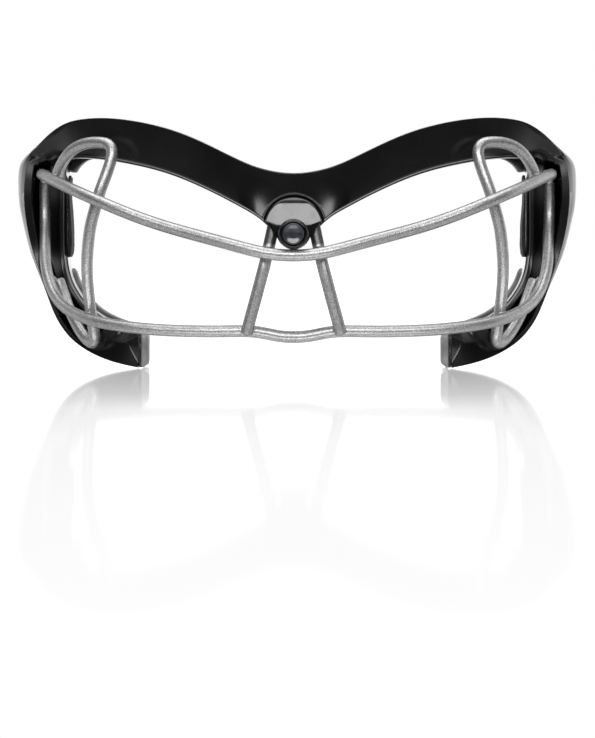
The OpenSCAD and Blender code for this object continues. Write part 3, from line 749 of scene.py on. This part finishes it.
# ---------------------------------------------------------------- wires
def tube(name, Q, r, ref, material, sides=40, round_ends=0.5):
    Q = np.asarray(Q, float)
    T = np.gradient(Q, axis=0)
    T /= np.linalg.norm(T, axis=1)[:, None]
    N = np.array(ref, float)
    N -= T[0] * N.dot(T[0])
    N /= np.linalg.norm(N)
    rings = []

    def ring(q, t, n, rr):
        b = np.cross(t, n)
        return world([q + rr * (math.cos(2 * math.pi * j / sides) * n + math.sin(2 * math.pi * j / sides) * b) for j in range(sides)])

    frames = []
    for i in range(len(Q)):
        N = N - T[i] * N.dot(T[i])
        N /= np.linalg.norm(N)
        frames.append(N.copy())
    e = round_ends
    for a in (75, 50, 25):
        w = math.radians(a)
        rings.append(ring(Q[0] + T[0] * e * (1 - math.cos(math.pi / 2 - w)) * 1.0, T[0], frames[0], r - e * (1 - math.cos(w)) if a < 90 else r))
    rings = [ring(Q[0], T[0], frames[0], r - e), ring(Q[0] + T[0] * e * 0.12, T[0], frames[0], r - e * 0.45), ring(Q[0] + T[0] * e * 0.42, T[0], frames[0], r - e * 0.1)]
    L = np.concatenate([[0], np.cumsum(np.linalg.norm(np.diff(Q, axis=0), axis=1))])
    for i in range(len(Q)):
        if e * 0.9 < L[i] < L[-1] - e * 0.9:
            rings.append(ring(Q[i], T[i], frames[i], r))
    rings += [ring(Q[-1] - T[-1] * e * 0.42, T[-1], frames[-1], r - e * 0.1), ring(Q[-1] - T[-1] * e * 0.12, T[-1], frames[-1], r - e * 0.45), ring(Q[-1], T[-1], frames[-1], r - e)]
    return rings_mesh(name, rings, material, angle=40)


def line(P, ds, k):
    n = len(P) - 1
    return [spl(P, min(t, n), k) for t in np.arange(0, n + ds / 2, ds)]


def both(P, ds):
    h = line(P, ds, 1)
    return [mir(v) for v in reversed(h[1:])] + h


up_pts, lo_pts = both(UP, 0.1), both(LO, 0.1)
lp_pts = line(LP, 0.1, 0)
nw_pts = both(NW[::-1], 0.1)
wires = {
    "upper_wire": tube("upper_wire_piece", up_pts, WR, (0, 0, 1), m_wire),
    "lower_wire": tube("lower_wire_piece", lo_pts, WR, (1, 0.2, 0.1), m_wire),
    "left_loop_wire": tube("left_loop_wire_piece", lp_pts, WR, (0, 1, 0), m_wire),
    "right_loop_wire": tube("right_loop_wire_piece", [mir(v) for v in lp_pts], WR, (0, 1, 0), m_wire),
    "nose_wire": tube("nose_wire_piece", nw_pts, WR, (0, 1, 0), m_wire, round_ends=0.35),
}


# ---------------------------------------------------------------- welds: the fillet where two wires meet
def near(pts, c, rad):
    pts = np.asarray(pts)
    i = int(np.argmin(np.linalg.norm(pts - c, axis=1)))
    a = b = i
    while a > 0 and np.linalg.norm(pts[a] - pts[i]) < rad:
        a -= 1
    while b < len(pts) - 1 and np.linalg.norm(pts[b] - pts[i]) < rad:
        b += 1
    return pts[a:b + 1]


def join(obs, name):
    bm = bmesh.new()
    for o in obs:
        bm.from_mesh(o.data)
    me = bpy.data.meshes.new(name)
    bm.to_mesh(me)
    bm.free()
    for o in obs:
        bpy.data.objects.remove(o)
    ob = bpy.data.objects.new(name, me)
    bpy.context.scene.collection.objects.link(ob)
    return ob


def remesh(ob, voxel, smooth, factor=0.5):
    m = ob.modifiers.new("r", "REMESH")
    m.mode = "VOXEL"
    m.voxel_size = voxel * MM
    m.use_smooth_shade = True
    s = ob.modifiers.new("s", "SMOOTH")
    s.factor, s.iterations = factor, smooth
    bake(ob)
    for p in ob.data.polygons:
        p.use_smooth = True
    return ob


def blob(c, r, seed):
    bm = bmesh.new()
    bmesh.ops.create_icosphere(bm, subdivisions=3, radius=1.0)
    for v in bm.verts:
        k = 1 + 0.22 * noise.noise(v.co * 1.7 + Vector((seed, 0, 0)))
        v.co = Vector(world(np.array(c) + np.array(v.co) * r * k))
    me = bpy.data.meshes.new("blob")
    bm.to_mesh(me)
    bm.free()
    ob = bpy.data.objects.new("blob", me)
    bpy.context.scene.collection.objects.link(ob)
    return ob


pairs = [(nw_pts, lo_pts), (nw_pts, up_pts), (up_pts, lp_pts), (lo_pts, lp_pts), (up_pts, lp_pts), (lo_pts, lp_pts), (up_pts, lo_pts)]
weld_obs = []
for bi, (c, (pa, pb)) in enumerate(zip(BEADS, pairs)):
    for s in (1, -1):
        cc = np.array(c, float) * np.array([s, 1, 1])
        pas = [mir(v) for v in pa] if (pa is lp_pts and s < 0) else pa
        pbs = [mir(v) for v in pb] if (pb is lp_pts and s < 0) else pb
        segs = [tube("seg", near(pas, cc, 3.2), WR - 0.02, (0.3, 1, 0.2), None, 24, 0.4), tube("seg", near(pbs, cc, 3.2), WR - 0.02, (0.3, 1, 0.2), None, 24, 0.4)]
        ob = join(segs + [blob(cc, 1.2, bi * 3.1 + s)], "weld")
        weld_obs.append(remesh(ob, 0.2, 10))
welds = join(weld_obs, "cage_welds_piece")
welds.data.materials.append(m_wire)
for p in welds.data.polygons:
    p.use_smooth = True


# ---------------------------------------------------------------- pads
def pad_strip(name, t0, t1, n, f, g, gap, th, sx, ribs=0.0, ends=(1.6, 1.6), two_sided=False, brow=False):
    tt = [t0 + (t1 - t0) * i / n for i in range(n + 1)]
    mid = np.array([(back_at(t, f) + back_at(t, g)) / 2 for t in tt])
    L = np.concatenate([[0], np.cumsum(np.linalg.norm(np.diff(mid, axis=0), axis=1))])
    m = 44
    rings = []
    for t, s in zip(tt, L):
        gp = gap + (0.8 * sstep(12.4, 13.6, t) if brow else 0.0)
        p, q = back_at(t, f), brow_in(t) if brow else back_at(t, g)
        c = (p + q) / 2
        hw = (q - p) / 2
        e = 1.0
        for d, r in ((s, ends[0]), (L[-1] - s, ends[1])):
            if r and d < r:
                e = min(e, math.sqrt(max(0.0, 1 - (1 - d / r) ** 2)))
        e = max(e, 0.02)
        rib = 0.0
        if ribs:
            w = (s % 3.6) / 3.6
            rib = ribs * math.exp(-((w - 0.5) / 0.12) ** 2) * sstep(2.5, 4.5, s) * sstep(2.5, 4.5, L[-1] - s)
        ring = []
        for j in range(m):
            a = 2 * math.pi * j / m
            ca, sa = math.cos(a), math.sin(a)
            ex = 0.42 if sa < 0 else 0.62
            x = math.copysign(abs(ca) ** ex, ca)
            y = math.copysign(abs(sa) ** ex, sa)
            x *= 1 - (1 - e) * 0.28
            k = (0.5 + 0.5 * y)
            dep = gp + th * (0.5 + (k - 0.5) * e)
            if sa > 0:
                dep -= rib * sa ** 0.6 * (1 - abs(ca) ** 6)
            ring.append(c + hw * x + YV * dep)
        rings.append(world(np.array(ring) * np.array([sx, 1, 1])))
    if two_sided:
        rings = [r * flip for r in reversed(rings[1:])] + rings
    return rings_mesh(name, rings, None, angle=60)


pads = {}
for s, side in ((1, "left"), (-1, "right")):
    ob = pad_strip(side + "_brow_pad_piece", 1.9, 14.0, 165, 0.12, 0.98, 0.12, 4.95, s, ribs=0.45, brow=True)
    ob.data.materials.append(m_pale)
    pads[side + "_brow_pad"] = ob
    strip = pad_strip("strip", 19.4, 26.95, 110, 0.15, 1.1, 0.45, 6.9, s, ends=(2.5, 0.6))
    blk = []
    for lo, hi, rr in (((39.7, 23.4, 0.8), (42.6, 27.6, 9.7), 1.35), ((40.9, 23.8, 0.3), (42.75, 38.8, 10.1), 0.3), ((40.8, 33.0, 1.2), (43.0, 39.0, 9.3), 0.7)):
        bm = bmesh.new()
        bmesh.ops.create_cube(bm, size=1.0)
        lo, hi = np.array(lo), np.array(hi)
        for v in bm.verts:
            v.co = Vector((lo + hi) / 2 + np.array(v.co) * (hi - lo))
        bmesh.ops.bevel(bm, geom=bm.edges, offset=rr, segments=4, profile=0.5, affect="EDGES")
        for v in bm.verts:
            v.co = Vector(world([v.co.x * s, v.co.y, v.co.z]))
        me = bpy.data.meshes.new("blk")
        bm.to_mesh(me)
        bm.free()
        o = bpy.data.objects.new("blk", me)
        bpy.context.scene.collection.objects.link(o)
        blk.append(o)
    ob = join([strip] + blk, side + "_cheek_pad_piece")
    remesh(ob, 0.3, 3)
    ob.data.materials.append(m_grey)
    pads[side + "_cheek_pad"] = ob
    # foam on the temple's inner face
    bm = bmesh.new()
    poly = [(54.6, 31.6), (55.2, 30.7), (56.2, 30.4), (60.3, 30.4), (61.1, 30.9), (61.4, 31.8), (61.4, 50.0), (61.1, 51.9), (60.3, 53.5), (56.4, 54.1), (55.2, 53.6), (54.6, 52.6)]
    lo = [bm.verts.new(Vector((64.75, p[0], p[1]))) for p in poly]
    hi = [bm.verts.new(Vector((66.05, p[0], p[1]))) for p in poly]
    bm.faces.new(lo)
    bm.faces.new(hi)
    for i in range(len(poly)):
        j = (i + 1) % len(poly)
        bm.faces.new((lo[i], lo[j], hi[j], hi[i]))
    for v in bm.verts:
        v.co = Vector(world([v.co.x * s, v.co.y, v.co.z]))
    me = bpy.data.meshes.new("foam")
    bm.to_mesh(me)
    bm.free()
    ob = bpy.data.objects.new(side + "_temple_pad_piece", me)
    bpy.context.scene.collection.objects.link(ob)
    tidy(ob)
    remesh(ob, 0.28, 4)
    for v in ob.data.vertices:
        z, x = v.co.z / MM, abs(v.co.x) / MM
        th = np.interp(z, (30.3, 31.5, 34, 40, 44, 48.7, 52, 54.2), (0.5, 0.9, 1.15, 1.0, 0.7, 0.4, 0.6, 0.85))
        x = 66.05 - (66.05 - x) * th / 1.3
        n = noise.noise(v.co * 260) * 0.1 + noise.noise(v.co * 1100) * 0.05
        v.co.x = s * (x + (n if x < 65.9 else 0)) * MM
        v.co.y += n * 0.5 * MM
    ob.data.materials.append(m_foam)
    pads[side + "_temple_pad"] = ob
nose_pad = pad_strip("nose_pad_piece", 0.0, 1.6, 40, 0.1, 0.92, 0.3, 5.9, 1, ends=(0, 1.6), two_sided=True)
boolean(nose_pad, [rod("c", 0, BOLT_Z, 4.4, 10, 30, 96)])
tidy(nose_pad, 60)
nose_pad.data.materials.append(m_grey)
pads["nose_pad"] = nose_pad

# ---------------------------------------------------------------- to the frame
pieces = [(body, "frame", "frame_gloss"), (cover, "bridge_cover", "cover_gloss"), (collar, "bridge_collar", "collar_gloss"), (bolt, "bridge_bolt", "bolt_dark"),
          (washer, "bridge_washer", "bright_steel"), (nut, "bridge_nut", "bright_steel"), (welds, "cage_welds", "cage_silver")]
pieces += [(ob, node, "cage_silver") for node, ob in wires.items()]
for node, ob in pads.items():
    slot = "silicone_pale" if "brow" in node else "temple_foam" if "temple" in node else "silicone_grey"
    pieces.append((ob, node, slot))
for ob, node, slot in pieces:
    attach(ob, "root")
    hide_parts(node)

# ---------------------------------------------------------------- floor
floor_me = bpy.data.meshes.new("floor")
S = 14.0
floor_me.from_pydata([(-S, -S, 0), (S, -S, 0), (S, S, 0), (-S, S, 0)], [], [(0, 1, 2, 3)])
floor = bpy.data.objects.new("floor", floor_me)
bpy.context.scene.collection.objects.link(floor)
floor.location.z = -0.00005
m_floor = bpy.data.materials.new("floor_pale")
m_floor.use_nodes = True
nt = m_floor.node_tree
nt.nodes.clear()
out = nt.nodes.new("ShaderNodeOutputMaterial")
em = nt.nodes.new("ShaderNodeEmission")
em.inputs["Color"].default_value = (1, 1, 1, 1)
gl = nt.nodes.new("ShaderNodeBsdfGlossy")
gl.inputs["Color"].default_value = (1, 1, 1, 1)
gl.inputs["Roughness"].default_value = 0.06
mx = nt.nodes.new("ShaderNodeMixShader")
tc = nt.nodes.new("ShaderNodeTexCoord")
ln = nt.nodes.new("ShaderNodeVectorMath")
ln.operation = "LENGTH"
nt.links.new(tc.outputs["Object"], ln.inputs[0])
mr = nt.nodes.new("ShaderNodeMapRange")
mr.inputs["From Min"].default_value, mr.inputs["From Max"].default_value = 0.0, 0.5
nt.links.new(ln.outputs["Value"], mr.inputs["Value"])
fade = colours(nt, mr.outputs["Result"], [(0.08, grey(0.60)), (0.18, grey(0.50)), (0.25, grey(0.40)), (0.33, grey(0.18)), (0.46, grey(0.09)), (0.6, grey(0.05)), (0.8, grey(0.015)), (1.0, grey(0))])
nt.links.new(fade, mx.inputs["Fac"])
near_only = nt.nodes.new("ShaderNodeMapRange")
near_only.interpolation_type = "SMOOTHSTEP"
near_only.inputs["From Min"].default_value, near_only.inputs["From Max"].default_value = 0.22, 0.6
near_only.inputs["To Min"].default_value, near_only.inputs["To Max"].default_value = 0.78, 0.03
nt.links.new(ln.outputs["Value"], near_only.inputs["Value"])
sepf = nt.nodes.new("ShaderNodeSeparateXYZ")
nt.links.new(tc.outputs["Object"], sepf.inputs[0])
behind = nt.nodes.new("ShaderNodeMath")
behind.operation = "MAXIMUM"
nt.links.new(ramp(nt, sepf.outputs["Y"], 0.04, 0.25, 0.0, 1.3), behind.inputs[0])
nt.links.new(near_only.outputs["Result"], behind.inputs[1])
seen = nt.nodes.new("ShaderNodeLightPath")
hi_e = nt.nodes.new("ShaderNodeMath")
hi_e.operation = "MAXIMUM"
nt.links.new(seen.outputs["Is Camera Ray"], hi_e.inputs[0])
nt.links.new(behind.outputs[0], hi_e.inputs[1])
nt.links.new(hi_e.outputs[0], em.inputs["Strength"])
nt.links.new(em.outputs["Emission"], mx.inputs[1])
nt.links.new(gl.outputs["BSDF"], mx.inputs[2])
nt.links.new(mx.outputs["Shader"], out.inputs["Surface"])
floor_me.materials.append(m_floor)
floor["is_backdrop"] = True

# ---------------------------------------------------------------- soft studio light
w = bpy.data.worlds.new("studio")
bpy.context.scene.world = w
w.use_nodes = True
nt = w.node_tree
nt.nodes.clear()
out = nt.nodes.new("ShaderNodeOutputWorld")
tc = nt.nodes.new("ShaderNodeTexCoord")
sep = nt.nodes.new("ShaderNodeSeparateXYZ")
nt.links.new(tc.outputs["Generated"], sep.inputs[0])


def wmap(sock, a, b, lo, hi):
    r = nt.nodes.new("ShaderNodeMapRange")
    r.interpolation_type = "SMOOTHSTEP"
    r.inputs["From Min"].default_value, r.inputs["From Max"].default_value = a, b
    r.inputs["To Min"].default_value, r.inputs["To Max"].default_value = lo, hi
    nt.links.new(sock, r.inputs["Value"])
    return r.outputs["Result"]


side_y = wmap(sep.outputs["Y"], 0.12, 0.5, 0.045, 1.65)
side_z = wmap(sep.outputs["Z"], 0.06, 0.24, 1.0, 0.2)
rear_y = wmap(sep.outputs["Y"], 0.5, 0.72, 0.0, 0.85)
either = nt.nodes.new("ShaderNodeMath")
either.operation = "MAXIMUM"
nt.links.new(side_z, either.inputs[0])
nt.links.new(rear_y, either.inputs[1])
side_z = either.outputs[0]
low_l = nt.nodes.new("ShaderNodeMath")
low_l.operation = "MULTIPLY"
nt.links.new(side_y, low_l.inputs[0])
nt.links.new(side_z, low_l.inputs[1])
side_l = low_l.outputs[0]
top_l = wmap(sep.outputs["Z"], 0.35, 0.9, 0.0, 0.45)
mxm = nt.nodes.new("ShaderNodeMath")
mxm.operation = "MAXIMUM"
nt.links.new(side_l, mxm.inputs[0])
nt.links.new(top_l, mxm.inputs[1])
bg = nt.nodes.new("ShaderNodeBackground")
bg.inputs["Color"].default_value = (1, 1, 1, 1)
back_l = wmap(sep.outputs["Y"], 0.88, 0.97, 0.0, 0.5)
add_l = nt.nodes.new("ShaderNodeMath")
add_l.operation = "ADD"
nt.links.new(mxm.outputs[0], add_l.inputs[0])
nt.links.new(back_l, add_l.inputs[1])
nt.links.new(add_l.outputs[0], bg.inputs["Strength"])
bgc = nt.nodes.new("ShaderNodeBackground")
bgc.inputs["Color"].default_value = (1, 1, 1, 1)
bgc.inputs["Strength"].default_value = 1.0
lp = nt.nodes.new("ShaderNodeLightPath")
mix = nt.nodes.new("ShaderNodeMixShader")
nt.links.new(lp.outputs["Is Camera Ray"], mix.inputs["Fac"])
nt.links.new(bg.outputs[0], mix.inputs[1])
nt.links.new(bgc.outputs[0], mix.inputs[2])
nt.links.new(mix.outputs[0], out.inputs["Surface"])


def area(name, loc, target, sx, sy, radiance):
    d = bpy.data.lights.new(name, "AREA")
    d.shape = "RECTANGLE"
    d.size, d.size_y = sx, sy
    d.energy = radiance * math.pi * sx * sy
    o = bpy.data.objects.new(name, d)
    bpy.context.scene.collection.objects.link(o)
    o.location = loc
    o.rotation_euler = (Vector(target) - Vector(loc)).to_track_quat("-Z", "Y").to_euler()
    o.visible_camera = False
    return o


area("key_front", (0.0, -1.25, 0.74), (0, 0, 0.03), 1.7, 0.34, 7.4)
area("top", (0.0, 0.1, 1.5), (0, 0, 0.03), 1.8, 1.4, 2.4)
area("side_right", (1.4, 0.6, 0.4), (0, 0, 0.03), 1.4, 1.6, 0.7)
area("side_left", (-1.4, 0.6, 0.4), (0, 0, 0.03), 1.4, 1.6, 0.3)

bpy.context.scene.view_settings.view_transform = "Standard"
bpy.context.scene.view_settings.look = "None"

lo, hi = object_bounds()
